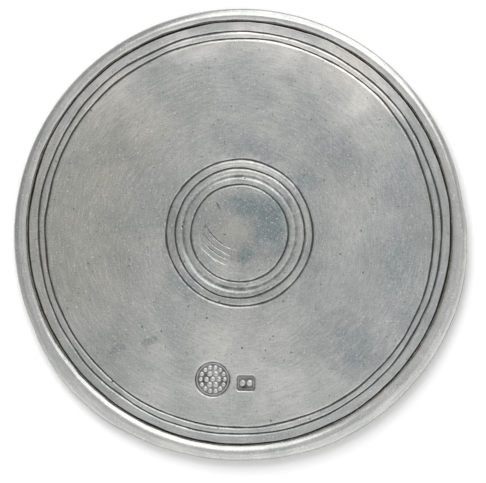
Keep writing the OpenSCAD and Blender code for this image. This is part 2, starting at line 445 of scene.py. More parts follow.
plate_pewter = pewter("turned pewter, hand rubbed",
                      ("#9c9e9e", "#c4c2bd", "#7b7e7c", "#807c6d", "#5d6b6f", "#2b2927"),
                      rough=(0.30, 0.46), patches=PLATE_PATCHES, tarnish=(0.15, 0.26),
                      dirt_reach=RIM_R, grain=1.0)
rim_pewter = pewter("cast pewter rim, hand rubbed",
                    ("#a5a6a4", "#c5c2bc", "#8b8c88", "#948f82", "#858d90", "#5e5a52"),
                    rough=(0.22, 0.34), patches={}, tarnish=(0.3, 0.75),
                    dirt_reach=BORE_R + 0.05 * MM, grain=0.45)
for finish in (plate_pewter, rim_pewter):
    print(f"{finish.name}: {len(finish.node_tree.nodes)} nodes")

# %% [markdown]
# ## Finish: solder, adhesive and cork
#
# Soft solder is tin and lead. In the joint it is never rubbed, so it goes dull and dark; its greys here
# are lighter than that, as painted light that lifts the shaded floor of the groove. The adhesive dries to
# a clear amber skin. Agglomerated cork is granules of bark, 1 to 2 mm across, pressed together with a
# dark binder and sanded flat, so its colour changes from granule to granule. The tiny pits in the metal
# hold dry polish and dirt, which is black and has no shine.

# %% Hidden finishes
def mottled(name, dark, light, size_mm, metallic, roughness, bump_mm):
    """A finish with one soft mottle in colour and relief."""
    material, tree, shader = new_material(name)
    place = add_node(tree, "ShaderNodeTexCoord").outputs["Object"]
    spots = add_node(tree, "ShaderNodeTexNoise",
                     {"Vector": place, "Scale": 1 / (size_mm * MM), "Detail": 4.0})
    share = add_node(tree, "ShaderNodeMapRange", {"Value": spots, "From Min": 0.3, "From Max": 0.7})
    tone = add_node(tree, "ShaderNodeMix", {0: share, 6: linear(dark), 7: linear(light)}, data_type="RGBA")
    relief = add_node(tree, "ShaderNodeBump", {0: 0.8, 1: bump_mm * MM, 3: spots})
    tree.links.new(tone.outputs["Result"], shader.inputs["Base Color"])
    tree.links.new(relief.outputs[0], shader.inputs["Normal"])
    shader.inputs["Metallic"].default_value = metallic
    shader.inputs["Roughness"].default_value = roughness
    return material


def granulated_cork(name, granule_mm):
    """Granules of cork bark in a dark binder, sanded flat."""
    material, tree, shader = new_material(name)
    place = add_node(tree, "ShaderNodeTexCoord").outputs["Object"]
    size = {"Vector": place, "Scale": 1 / (granule_mm * MM)}
    cell = add_node(tree, "ShaderNodeTexVoronoi", size)
    gap = add_node(tree, "ShaderNodeTexVoronoi", size, feature="DISTANCE_TO_EDGE")
    cell_value = add_node(tree, "ShaderNodeSeparateColor", {0: cell.outputs["Color"]})
    granule = add_node(tree, "ShaderNodeMix", {0: cell_value, 6: linear("#a87a4d"), 7: linear("#cda678")},
                       data_type="RGBA")
    pores = add_node(tree, "ShaderNodeTexNoise", {"Vector": place, "Scale": 1 / (0.35 * MM), "Detail": 3.0})
    pore_share = add_node(tree, "ShaderNodeMapRange",
                          {"Value": pores, "From Min": 0.55, "From Max": 0.75, "To Max": 0.6})
    porous = add_node(tree, "ShaderNodeMix", {0: pore_share, 6: granule.outputs["Result"],
                                              7: linear("#7a5231")}, data_type="RGBA")
    binder_share = add_node(tree, "ShaderNodeMapRange",
                            {"Value": gap.outputs["Distance"], "From Min": 0.09, "From Max": 0.02})
    tone = add_node(tree, "ShaderNodeMix", {0: binder_share, 6: porous.outputs["Result"],
                                            7: linear("#4f331e")}, data_type="RGBA")
    dents = add_node(tree, "ShaderNodeMath", {0: binder_share, 1: pore_share}, operation="MAXIMUM")
    relief = add_node(tree, "ShaderNodeBump", {0: 0.8, 1: -0.08 * MM, 3: dents})
    tree.links.new(tone.outputs["Result"], shader.inputs["Base Color"])
    tree.links.new(relief.outputs[0], shader.inputs["Normal"])
    shader.inputs["Roughness"].default_value = 0.85
    return material


# The solder's greys are lighter than tarnished solder: painted light on the shaded floor of the groove.
solder_with_painted_light = mottled("soft solder, run in and tarnished", "#7a766c", "#a9a499", size_mm=0.6,
                       metallic=1.0, roughness=0.6, bump_mm=0.03)
adhesive = mottled("contact adhesive, spread and dried", "#c9a85c", "#e2d2a0", size_mm=2.5,
                   metallic=0.0, roughness=0.3, bump_mm=0.03)
cork = granulated_cork("agglomerated cork, sanded", granule_mm=1.6)
pit_dirt = mottled("polish and dirt packed in the pits", "#1f1d1a", "#45423c", size_mm=0.15,
                   metallic=0.0, roughness=0.8, bump_mm=0.01)
print("materials:", solder_with_painted_light.name, "|", adhesive.name, "|", cork.name, "|", pit_dirt.name)

# %% [markdown]
# ## A lathe made of nodes
#
# The plate, the solder seam, the film and the cork pad are all turned shapes: one outline, carried
# round a centre. A Screw modifier would do that, but then every line would be perfect. A turner's
# lines wander a little and vary in depth. So this tree builds a grid with one column for each point of
# the outline and one row for each step round, and moves each point to its place. Two numbers on every
# outline point, wander and dip, say how far that point may stray sideways and up or down, and noise
# decides how much it does. The noise is read at the point's place, with the radius stretched, so that
# lines a few millimetres apart stray each in its own way.

# %% The lathe tree
def lathe_tree():
    """Builds the tree that turns an outline about a centre."""
    tree, given = new_tree("lathe", {
        "Outline": "Object", "Steps Around": "Int", "Centre": "Vector", "Patch Size": "Float",
        "Radial Stretch": "Float", "Seed": "Int", "Material": "Material"})
    outline = add_node(tree, "GeometryNodeObjectInfo", {"Object": given["Outline"]}).outputs["Geometry"]
    points = add_node(tree, "GeometryNodeAttributeDomainSize",
                      {"Geometry": outline}).outputs["Point Count"]

    # The grid: its columns follow the outline's points, and its rows go round
    gaps = add_node(tree, "ShaderNodeMath", {0: points, 1: 1.0}, operation="SUBTRACT")
    rows = add_node(tree, "ShaderNodeMath", {0: given["Steps Around"], 1: 1.0}, operation="ADD")
    grid = add_node(tree, "GeometryNodeMeshGrid",
                    {"Size X": gaps, "Size Y": given["Steps Around"], "Vertices X": points,
                     "Vertices Y": rows})
    spot = add_node(tree, "ShaderNodeSeparateXYZ", {0: add_node(tree, "GeometryNodeInputPosition")})
    column = add_node(tree, "ShaderNodeMath", {0: gaps, 1: 0.5, 2: spot.outputs[0]},
                      operation="MULTIPLY_ADD")
    index = add_node(tree, "ShaderNodeMath", {0: column}, operation="ROUND")
    share_of_turn = add_node(tree, "ShaderNodeMath", {0: spot.outputs[1], 1: given["Steps Around"]},
                             operation="DIVIDE")
    angle = add_node(tree, "ShaderNodeMath", {0: share_of_turn, 1: math.tau}, operation="MULTIPLY")
    cosine = add_node(tree, "ShaderNodeMath", {0: angle}, operation="COSINE")
    sine = add_node(tree, "ShaderNodeMath", {0: angle}, operation="SINE")

    # What the outline's point says: its radius and height, and how far it may stray
    said = {}
    for label, kind, field in (
            ("place", "FLOAT_VECTOR", add_node(tree, "GeometryNodeInputPosition")),
            ("wander", "FLOAT", add_node(tree, "GeometryNodeInputNamedAttribute", {"Name": "wander"})),
            ("dip", "FLOAT", add_node(tree, "GeometryNodeInputNamedAttribute", {"Name": "dip"}))):
        said[label] = add_node(tree, "GeometryNodeSampleIndex",
                               {"Geometry": outline, "Value": field, "Index": index}, data_type=kind)
    section = add_node(tree, "ShaderNodeSeparateXYZ", {0: said["place"]})

    def turned(radius, height):
        """The point at this radius and height, on the row's angle."""
        x = add_node(tree, "ShaderNodeMath", {0: radius, 1: cosine}, operation="MULTIPLY")
        y = add_node(tree, "ShaderNodeMath", {0: radius, 1: sine}, operation="MULTIPLY")
        return add_node(tree, "ShaderNodeCombineXYZ", {0: x, 1: y, 2: height})

    # Noise decides how far it does stray
    stretched = add_node(tree, "ShaderNodeMath", {0: section.outputs[0], 1: given["Radial Stretch"]},
                         operation="MULTIPLY")
    noise_place = add_node(tree, "ShaderNodeVectorMath",
                           {0: turned(section.outputs[0], stretched), 1: given["Patch Size"]},
                           operation="DIVIDE")
    noise = add_node(tree, "ShaderNodeTexNoise",
                     {"Vector": noise_place, "W": given["Seed"], "Scale": 1.0, "Detail": 3.0},
                     noise_dimensions="4D")
    strays = add_node(tree, "ShaderNodeVectorMath", {0: noise.outputs["Color"], 1: (0.5, 0.5, 0.5)},
                      operation="SUBTRACT")
    stray = add_node(tree, "ShaderNodeSeparateXYZ", {0: strays})
    radius = add_node(tree, "ShaderNodeMath",
                      {0: stray.outputs[0], 1: said["wander"], 2: section.outputs[0]},
                      operation="MULTIPLY_ADD")
    height = add_node(tree, "ShaderNodeMath",
                      {0: stray.outputs[1], 1: said["dip"], 2: section.outputs[2]},
                      operation="MULTIPLY_ADD")
    final = add_node(tree, "ShaderNodeVectorMath", {0: turned(radius, height), 1: given["Centre"]},
                     operation="ADD")
    shaped = add_node(tree, "GeometryNodeSetPosition", {"Geometry": grid, "Position": final})
    closed = add_node(tree, "GeometryNodeMergeByDistance", {"Geometry": shaped, "Distance": 0.0005 * MM})
    end_tree(tree, closed, given["Material"])
    return tree


LATHE = lathe_tree()


def turn_piece(name, outline, steps, material, patch=20 * MM, stretch=0.0, seed=1, centre=SEAT):
    """Turns an outline of (radius, height, wander, dip) points, in metres, about a centre."""
    template = bpy.data.meshes.new("outline")
    template.from_pydata([(r, 0, z) for r, z, _, _ in outline],
                         [(i, i + 1) for i in range(len(outline) - 1)], [])
    for label, column in (("wander", 2), ("dip", 3)):
        values = template.attributes.new(label, "FLOAT", "POINT").data
        values.foreach_set("value", [point[column] for point in outline])
    holder = bpy.data.objects.new("outline", template)
    scene.collection.objects.link(holder)
    piece = run_tree(name, LATHE, {
        "Outline": holder, "Steps Around": steps, "Centre": (centre[0], centre[1], 0),
        "Patch Size": patch, "Radial Stretch": stretch, "Seed": seed, "Material": material})
    bpy.data.objects.remove(holder)
    print(f"{name}: {len(outline)} outline points, {triangles(piece)} triangles")
    return piece


# %% [markdown]
# ## The plate's face
#
# The face is flat but for what the turner cut: two lines by the rim, three narrow rings and a broad
# cove in the middle, and a chamfer on the edge. Cutting soft metal throws up a burr on each side of a
# line, and rubbing rounds it, so each line here has a round root, round lips and a trace of a burr. The
# lands between the rings fall a little outwards, as the tool was fed, so they catch the light at the
# top. One function gives the height of the face at any radius, and the outline samples it closely near
# each line and coarsely on the flats.

# %% Lines, rings and cove
# Lines as (radius, width, depth), and lands as (inner radius, outer radius), all in mm
LINES = ((53.0, 0.66, 0.32), (51.18, 0.66, 0.32), (19.28, 0.6, 0.29), (17.1, 0.6, 0.29),
         (12.86, 0.6, 0.29))
COVE_R_MM = 14.86
COVE_W_MM = 1.7
COVE_DEPTH_MM = 0.2
EDGE_W_MM = 0.4
EDGE_DEPTH_MM = (FACE_Z - ROOT_Z) / MM
BURR_MM = 0.015
LANDS = ((10.6, 12.86), (12.86, 14.0), (15.7, 17.1), (17.1, 19.28))
LAND_FALL = 0.11
LAND_EASE_MM = 0.35
PLATE_R_MM = PLATE_R / MM
LINE_WANDER_MM = 1.0
LINE_DIP_MM = 0.16


def soft_ramp(x, softness):
    """x above 0 and 0 below it, with a round corner between."""
    return softness * math.log1p(math.exp(x / softness))


def cut_depth(offset_mm, width_mm, depth_mm):
    """Depth of a line at an offset from its middle: a round root, round lips and a trace of a burr."""
    across = abs(2 * offset_mm / width_mm)
    burr = BURR_MM * math.exp(-((across - 2.3) / 0.35) ** 2)
    return depth_mm * math.exp(-(across / 0.95) ** 2) - burr


def face_drop(r_mm):
    """How far the face lies below its flats at a radius, in mm."""
    drop = sum(cut_depth(r_mm - line_r, width, depth) for line_r, width, depth in LINES)
    drop += COVE_DEPTH_MM * soft_ramp(1 - (2 * (r_mm - COVE_R_MM) / COVE_W_MM) ** 2, 0.12)
    for low, high in LANDS:
        if low < r_mm < high:
            ease = min(1, (r_mm - low) / LAND_EASE_MM, (high - r_mm) / LAND_EASE_MM)
            drop += LAND_FALL * (r_mm - (low + high) / 2) * ease
    return drop + EDGE_DEPTH_MM * soft_ramp((r_mm - PLATE_R_MM) / EDGE_W_MM + 1, 0.1)


def face_radii():
    """Radii in mm at which the outline has a point: close together where something is cut."""
    radii = list(np.arange(0, 10.6, 0.8)) + [10.6, 10.95, 11.4] + list(np.arange(21, 50, 1.05)) + [52.1]
    radii += [radius for low, high in LANDS for radius in ((low + high) / 2, high - LAND_EASE_MM)]
    for line_r, width, _ in LINES:
        radii += [line_r + width * step for step in np.linspace(-1.3, 1.3, 21)]
    radii += [COVE_R_MM + COVE_W_MM * step for step in np.linspace(-0.7, 0.7, 15)]
    radii += [PLATE_R_MM - EDGE_W_MM * step for step in np.linspace(2.2, 0, 13)]
    return sorted(radii)


def freedom(r_mm):
    """How freely the face strays at a radius: 1 within a line, 0 on the flats."""
    shares = [1.6 - 1.6 * abs(r_mm - line_r) / width for line_r, width, _ in LINES]
    shares.append(2.2 - 2.8 * abs(r_mm - COVE_R_MM) / COVE_W_MM)
    shares.append(2.4 - (PLATE_R_MM - r_mm) / EDGE_W_MM)
    return min(1.0, max(0.0, *shares)) * min(1.0, max(0.0, (PLATE_R_MM - r_mm) / 0.1))


plate_outline = [(r * MM, FACE_Z - face_drop(r) * MM, LINE_WANDER_MM * MM * freedom(r),
                  LINE_DIP_MM * MM * min(1, max(0, face_drop(r) / 0.15))) for r in face_radii()]
plate_outline += [(PLATE_R, PLATE_Z + 0.1 * MM, 0, 0), (PLATE_R - 0.1 * MM, PLATE_Z, 0, 0),
                  (0, PLATE_Z, 0, 0)]
plate = turn_piece("plate_turned", plate_outline, steps=384, material=plate_pewter, patch=13 * MM,
                   stretch=6)

# %% [markdown]
# ## Two struck marks
#
# Below the rings the maker struck two small punches. What they show here is plain ornament: a hoop
# round a circle of pearls and a little flower of pearls, and a frame round two pearls. A punch is built
# as a solid, from loops of its outline at several depths, and then cut out of the plate, just as the
# real one pushed the metal aside. The flared top is the bruised edge that a blow leaves. The pearls
# are repeated, so Geometry Nodes place them, and take them away from the punch: a hollow in the punch
# leaves a pearl on the plate.

# %% Punches
MARK_DEPTH_MM = 0.23
RELIEF_MM = 0.19
OVERRUN_MM = 0.4


def mark_outline(width, height, corner, inset, per_corner=16):
    """A rectangle with round corners, drawn in by an inset: points in mm, anticlockwise."""
    radius = max(corner - inset, 0.06)
    across = width / 2 - inset - radius
    along = height / 2 - inset - radius
    points = []
    for corner_turn, (sx, sy) in enumerate(((1, 1), (-1, 1), (-1, -1), (1, -1))):
        for step in range(per_corner):
            a = math.pi / 2 * (corner_turn + (step + 0.5) / per_corner)
            points.append((sx * across + radius * math.cos(a), sy * along + radius * math.sin(a)))
    return points


def punch(name, spot_mm, width, height, corner, ridge_inset, ridge_w):
    """A punch with a raised ridge inside its edge: (inset, height above the floor) loops, capped."""
    r, w = ridge_inset, ridge_w
    levels = [(-0.30, MARK_DEPTH_MM + OVERRUN_MM), (-0.30, MARK_DEPTH_MM), (-0.06, MARK_DEPTH_MM - 0.08),
              (0.05, 0.06), (0.12, 0.0), (r - 0.04, 0.0), (r + 0.01, RELIEF_MM - 0.05),
              (r + 0.05, RELIEF_MM), (r + w - 0.05, RELIEF_MM), (r + w - 0.01, RELIEF_MM - 0.05),
              (r + w + 0.04, 0.0)]
    loops = [[(x, y, z) for x, y in mark_outline(width, height, corner, inset)] for inset, z in levels]
    count = len(loops[0])
    corner_at = Vector((SEAT[0] + spot_mm[0] * MM, SEAT[1] + spot_mm[1] * MM, FACE_Z - MARK_DEPTH_MM * MM))
    faces = [tuple(range(count)), tuple(reversed(range((len(loops) - 1) * count, len(loops) * count)))]
    for level in range(len(loops) - 1):
        for i in range(count):
            j = (i + 1) % count
            low, high = level * count, (level + 1) * count
            faces.append((low + i, high + i, high + j, low + j))
    mesh = bpy.data.meshes.new(name)
    mesh.from_pydata([tuple(corner_at + Vector(p) * MM) for loop in loops for p in loop], [], faces)
    mesh.materials.append(plate_pewter)
    piece = bpy.data.objects.new(name, mesh)
    scene.collection.objects.link(piece)
    return piece


def pearl_tree():
    """Builds the tree that puts pearls evenly on a circle."""
    tree, given = new_tree("pearls", {
        "Count": "Int", "Circle Radius": "Float", "Ball Radius": "Float", "Centre": "Vector",
        "Material": "Material"})
    number = add_node(tree, "GeometryNodeInputIndex")
    turn = add_node(tree, "ShaderNodeMath", {0: number, 1: given["Count"]}, operation="DIVIDE")
    turn = add_node(tree, "ShaderNodeMath", {0: turn, 1: math.tau}, operation="MULTIPLY")
    x = add_node(tree, "ShaderNodeMath", {0: turn}, operation="COSINE")
    y = add_node(tree, "ShaderNodeMath", {0: turn}, operation="SINE")
    on_circle = add_node(tree, "ShaderNodeVectorMath",
                         {0: add_node(tree, "ShaderNodeCombineXYZ", {0: x, 1: y}),
                          "Scale": given["Circle Radius"]}, operation="SCALE")
    spots = add_node(tree, "ShaderNodeVectorMath", {0: on_circle, 1: given["Centre"]}, operation="ADD")
    points = add_node(tree, "GeometryNodePoints", {"Count": given["Count"], "Position": spots})
    ball = add_node(tree, "GeometryNodeMeshUVSphere",
                    {"Segments": 24, "Rings": 24, "Radius": given["Ball Radius"]})
    pearls = add_node(tree, "GeometryNodeInstanceOnPoints", {"Points": points, "Instance": ball})
    end_tree(tree, pearls, given["Material"])
    return tree


PEARLS = pearl_tree()


def add_pearls(punch_piece, spot_mm, count, circle_mm, pearl_mm):
    """Hollows a punch for pearls: caps of balls that reach the relief's height and the pearl's radius."""
    ball_mm = (pearl_mm ** 2 + RELIEF_MM ** 2) / (2 * RELIEF_MM)
    floor = FACE_Z - MARK_DEPTH_MM * MM
    centre = (SEAT[0] + spot_mm[0] * MM, SEAT[1] + spot_mm[1] * MM, floor + (RELIEF_MM - ball_mm) * MM)
    balls = run_tree("balls", PEARLS, {
        "Count": count, "Circle Radius": circle_mm * MM, "Ball Radius": ball_mm * MM, "Centre": centre,
        "Material": plate_pewter})
    cut(punch_piece, balls)


ROUND_SPOT = (-7.1, -38.5)
OBLONG_SPOT = (1.65, -39.5)
PAIR_PITCH_MM = 1.84
round_punch = punch("round punch", ROUND_SPOT, width=9.4, height=9.4, corner=4.7, ridge_inset=0.42,
                    ridge_w=0.30)
add_pearls(round_punch, ROUND_SPOT, count=14, circle_mm=3.16, pearl_mm=0.62)
add_pearls(round_punch, ROUND_SPOT, count=6, circle_mm=1.58, pearl_mm=0.74)
add_pearls(round_punch, ROUND_SPOT, count=1, circle_mm=0.0, pearl_mm=0.74)
oblong_punch = punch("oblong punch", OBLONG_SPOT, width=5.0, height=4.2, corner=0.9, ridge_inset=0.45,
                     ridge_w=0.20)
for side in (-1, 1):
    pearl_spot = (OBLONG_SPOT[0] + side * PAIR_PITCH_MM / 2, OBLONG_SPOT[1])
    add_pearls(oblong_punch, pearl_spot, count=1, circle_mm=0.0, pearl_mm=0.86)
print("punches:", triangles(round_punch), "and", triangles(oblong_punch), "triangles")
for tool in (round_punch, oblong_punch):
    cut(plate, tool)
print("plate:", triangles(plate), "triangles")

# %% [markdown]
# ## Tool chatter and casting pits
#
# In the middle the tool ran off centre and skipped, and left a few curved scores, with one nick beside
# them. Each one is a diamond section carried along an arc that rises out of the metal at both ends, so
# that the score tapers. One wall of it catches the light and the root holds dirt, so it reads as a
# bright line beside a dark one. Cast pewter also holds tiny gas pits, which turning lays open. They
# are small lumpy balls scattered over the surface and cut out of it.

# %% Scores and pits
def score_tree():
    """Builds the tree of a score: a diamond section along an arc through three points."""
    tree, given = new_tree("tool score", {
        "Start": "Vector", "Middle": "Vector", "End": "Vector", "Width": "Float", "Depth": "Float",
        "Material": "Material"})
    arc = add_node(tree, "GeometryNodeCurveArc",
                   {"Resolution": 28, "Start": given["Start"], "Middle": given["Middle"],
                    "End": given["End"]}, mode="POINTS").outputs["Curve"]
    along = add_node(tree, "GeometryNodeSplineParameter").outputs["Factor"]
    off_middle = add_node(tree, "ShaderNodeMath", {0: along, 1: 2.0, 2: -1.0}, operation="MULTIPLY_ADD")
    distance = add_node(tree, "ShaderNodeMath", {0: off_middle}, operation="ABSOLUTE")
    rise = add_node(tree, "ShaderNodeMath", {0: distance, 1: 2.5}, operation="POWER")
    lift = add_node(tree, "ShaderNodeMath", {0: rise, 1: given["Depth"]}, operation="MULTIPLY")
    clear = add_node(tree, "ShaderNodeMath", {0: lift, 1: 1.3}, operation="MULTIPLY")
    offset = add_node(tree, "ShaderNodeCombineXYZ", {2: clear})
    path = add_node(tree, "GeometryNodeSetPosition", {"Geometry": arc, "Offset": offset})
    diamond = add_node(tree, "GeometryNodeCurvePrimitiveCircle", {"Resolution": 4, "Radius": 1.0})
    half_size = add_node(tree, "ShaderNodeCombineXYZ", {0: given["Width"], 1: given["Depth"], 2: 1.0})
    section = add_node(tree, "GeometryNodeTransform", {"Geometry": diamond, "Scale": half_size})
    score = add_node(tree, "GeometryNodeCurveToMesh",
                     {"Curve": path, "Profile Curve": section, "Fill Caps": True})
    end_tree(tree, score, given["Material"])
    return tree


# Scores as three points (right, up) in mm from the seat's centre, then half width and depth in mm
SCORES = (
    ((-9.6, 4.2), (-6.0, -1.7), (0.4, -4.8), 0.36, 0.26),
    ((-9.8, 1.0), (-6.8, -3.2), (-2.6, -5.6), 0.34, 0.24),
    ((-8.8, -0.4), (-6.0, -3.6), (-2.2, -6.2), 0.22, 0.12),
    ((-11.0, 0.2), (-7.4, -4.4), (-2.0, -7.4), 0.36, 0.25),
    ((-11.6, -1.4), (-8.4, -5.4), (-3.0, -8.6), 0.28, 0.14),
    ((-6.3, 8.5), (-5.7, 7.4), (-5.0, 5.9), 0.32, 0.24))
SCORE = score_tree()
for number, (start, middle, end, half_mm, depth_mm) in enumerate(SCORES):
    ends = [(SEAT[0] + x * MM, SEAT[1] + y * MM, FACE_Z) for x, y in (start, middle, end)]
    score = run_tree(f"score_{number}", SCORE, {
        "Start": ends[0], "Middle": ends[1], "End": ends[2], "Width": half_mm * MM,
        "Depth": depth_mm * MM, "Material": plate_pewter})
    size = score.dimensions / MM
    print(f"score {number}: {size.x:.1f} x {size.y:.1f} x {size.z:.2f} mm")
    cut(plate, score)


def pit_tree():
    """Builds the tree that scatters pits over the upward faces of a piece."""
    tree, given = new_tree("casting pits", {
        "Surface": "Object", "Per Square Metre": "Float", "Smallest": "Float", "Largest": "Float",
        "Seed": "Int", "Material": "Material"})
    surface = add_node(tree, "GeometryNodeObjectInfo", {"Object": given["Surface"]}).outputs["Geometry"]
    up = add_node(tree, "ShaderNodeSeparateXYZ", {0: add_node(tree, "GeometryNodeInputNormal")}).outputs[2]
    upward = add_node(tree, "FunctionNodeCompare", {0: up, 1: 0.8}, operation="GREATER_THAN")
    spots = add_node(tree, "GeometryNodeDistributePointsOnFaces",
                     {"Mesh": surface, "Selection": upward, "Density": given["Per Square Metre"],
                      "Seed": given["Seed"]}).outputs["Points"]
    ball = add_node(tree, "GeometryNodeMeshIcoSphere", {"Radius": 1.0, "Subdivisions": 2})
    size = add_node(tree, "FunctionNodeRandomValue",
                    {2: 0.0, 3: 1.0, "Seed": given["Seed"]}, data_type="FLOAT").outputs[1]
    size = add_node(tree, "ShaderNodeMath", {0: size, 1: 3.0}, operation="POWER")
    size = add_node(tree, "ShaderNodeMapRange",
                    {"Value": size, "To Min": given["Smallest"], "To Max": given["Largest"]})
    squash = add_node(tree, "ShaderNodeVectorMath", {0: (1.0, 0.65, 0.7), "Scale": size}, operation="SCALE")
    spin = add_node(tree, "FunctionNodeRandomValue",
                    {0: (0, 0, 0), 1: (0.2, 0.2, math.tau), "Seed": 7}, data_type="FLOAT_VECTOR").outputs[0]
    pits = add_node(tree, "GeometryNodeInstanceOnPoints",
                    {"Points": spots, "Instance": ball, "Rotation": spin, "Scale": squash})
    end_tree(tree, pits, given["Material"])
    return tree


PITS = pit_tree()


def lay_open_pits(piece, per_square_cm, smallest_mm, largest_mm, seed):
    """Scatters pits over a piece and cuts them out."""
    pits = run_tree("pits", PITS, {
        "Surface": piece, "Per Square Metre": per_square_cm * 1e4, "Smallest": smallest_mm * MM,
        "Largest": largest_mm * MM, "Seed": seed, "Material": pit_dirt})
    count = len(pits.data.vertices) // 42
    cut(piece, pits)
    print(f"{piece.name}: {count} pits, {triangles(piece)} triangles")


lay_open_pits(plate, per_square_cm=3.8, smallest_mm=0.08, largest_mm=0.34, seed=11)

# %% [markdown]
# ## Solder, film and cork
#
# The same lathe turns the three hidden pieces. The solder seam is a narrow ring whose top has sunk
# unevenly, as solder does when it cools. The film's edge strays, because adhesive is spread by hand.
# The cork's edge crumbles a little where it was stamped through its grains.

# %% Hidden pieces
solder_outline = [
    (PLATE_R, PLATE_Z, 0, 0), (PLATE_R, ROOT_Z - 0.05 * MM, 0, 0.1 * MM),
    ((PLATE_R + BORE_R) / 2, ROOT_Z - 0.1 * MM, 0, 0.2 * MM), (BORE_R, ROOT_Z - 0.05 * MM, 0, 0.1 * MM),
    (BORE_R, PLATE_Z, 0, 0), (PLATE_R, PLATE_Z, 0, 0)]
solder = turn_piece("solder_seam_run", solder_outline[::-1], steps=480, material=solder_with_painted_light,
                    patch=3 * MM, seed=2)

film_outline = [
    (0, PLATE_Z, 0, 0), (FILM_R - 0.3 * MM, PLATE_Z, 0.4 * MM, 0),
    (FILM_R - 0.2 * MM, PLATE_Z, 0.4 * MM, 0), (FILM_R - 0.15 * MM, (PLATE_Z + FILM_Z) / 2, 0.4 * MM, 0),
    (FILM_R - 0.2 * MM, FILM_Z, 0.4 * MM, 0), (0, FILM_Z, 0, 0)]
film = turn_piece("adhesive_film_spread", film_outline, steps=240, material=adhesive, patch=4 * MM,
                  seed=3)

cork_outline = [(0, CORK_TOP_Z, 0, 0), (CORK_R - 0.3 * MM, CORK_TOP_Z, 0.2 * MM, 0)]
cork_outline += [(CORK_R - 0.15 * MM, z, 0.35 * MM, 0)
                 for z in np.linspace(CORK_TOP_Z - 0.15 * MM, CORK_Z + 0.15 * MM, 6)]
cork_outline += [(CORK_R - 0.3 * MM, CORK_Z, 0.2 * MM, 0), (0, CORK_Z, 0, 0)]
cork_pad = turn_piece("cork_pad_stamped", cork_outline, steps=720, material=cork, patch=1 * MM,
                      stretch=3, seed=4)

# %% [markdown]
# ## The rim
#
# The rim was cast apart and soldered on, and its outside isn't quite centred on its bore: the band is
# widest at the lower right. Hands and falls have left the outer edge lumpy too. A single outline can't
# be turned about two centres, so this piece is worked out section by section. The bore is measured
# from the seat's centre, the crown from the rim's own, and the flank between them is an arc that meets
# both. Outside the crown the section falls as a low dome, turns down round an edge of 1 mm radius and
# tucks under to the foot. That edge is drawn in or let out as it was knocked, and the lip at the bore
# has the short steps that a scraper leaves.

# %% Rim sections
LEDGE_R = CORK_R + 0.5 * MM
BEAD_R = (CROWN_Z - FOOT_Z) / 2
CROWN_R = RIM_R - BEAD_R
FLANK_R = 3.2 * MM
DOME_START = math.radians(7)
DOME_END = math.radians(34)
EDGE_R = 1.0 * MM
STEEPEST_LIP = 0.5
LIP_ROUND = 0.05 * MM
STEP_COUNT = 130
RIM_STEPS = 480
# How far the edge is knocked out or, below zero, in, as {angle in degrees: distance in mm}
KNOCKS = {0: -0.45, 10: -1.0, 20: -0.85, 30: -0.8, 60: -0.6, 90: -0.5, 140: -0.3, 165: -0.35, 185: -0.25,
          203: -0.1, 211: 0.35, 220: 0.8, 232: 0.65, 243: 0.0, 258: -0.4, 272: -0.5, 283: -0.3, 293: 0.05,
          310: 0.1, 330: 0.1, 343: 0.2, 352: 0.0}


def knocked(angle):
    """How far the outer edge lies outside a true circle at an angle, in metres, eased between knocks."""
    turn = math.degrees(angle) % 360
    spots = sorted(KNOCKS.items())
    spots = [(spots[-1][0] - 360, spots[-1][1])] + spots + [(spots[0][0] + 360, spots[0][1])]
    for (a, low), (b, high) in zip(spots, spots[1:]):
        if a <= turn <= b:
            share = (1 - math.cos(math.pi * (turn - a) / (b - a))) / 2
            return (low + (high - low) * share) * MM


def unevenness(angle, seed, size):
    """A little waviness round the ring, from a few sines with fixed phases."""
    draw = np.random.default_rng(seed)
    return sum(size / count ** 0.5 * math.sin(count * angle + draw.uniform(0, math.tau))
               for count in (5, 9, 14, 23, 37, 61))


def outer_side(reach):
    """The rim outside its crown, as (distance out, height): a dome, a rounded edge, down to the foot."""
    dome_w = reach - EDGE_R * (1 - math.sin(DOME_END))
    side, height = [], CROWN_Z
    shares = np.linspace(0, 1, 15)
    for last, share in zip(shares, shares[1:]):
        slope = DOME_START + (DOME_END - DOME_START) * (last + share) / 2
        height -= math.tan(slope) * dome_w * (share - last)
        side.append((dome_w * share, height))
    edge_z = height - EDGE_R * math.cos(DOME_END)
    side += [(reach - EDGE_R + EDGE_R * math.sin(a), edge_z + EDGE_R * math.cos(a))
             for a in np.linspace(DOME_END, math.pi / 2, 7)[1:]]
    return side + [(reach * math.cos(a), FOOT_Z + BEAD_R * (1 - math.sin(a)))
                   for a in np.linspace(0, math.pi / 2, 12)]


STEP_DRAWS = np.random.default_rng(8).normal(0, 1, STEP_COUNT)


def stepped(angle, size):
    """Short steps round the ring, as a scraper leaves them."""
    spot = angle / math.tau * STEP_COUNT
    return size * np.interp(spot, np.arange(STEP_COUNT + 1), [*STEP_DRAWS, STEP_DRAWS[0]])


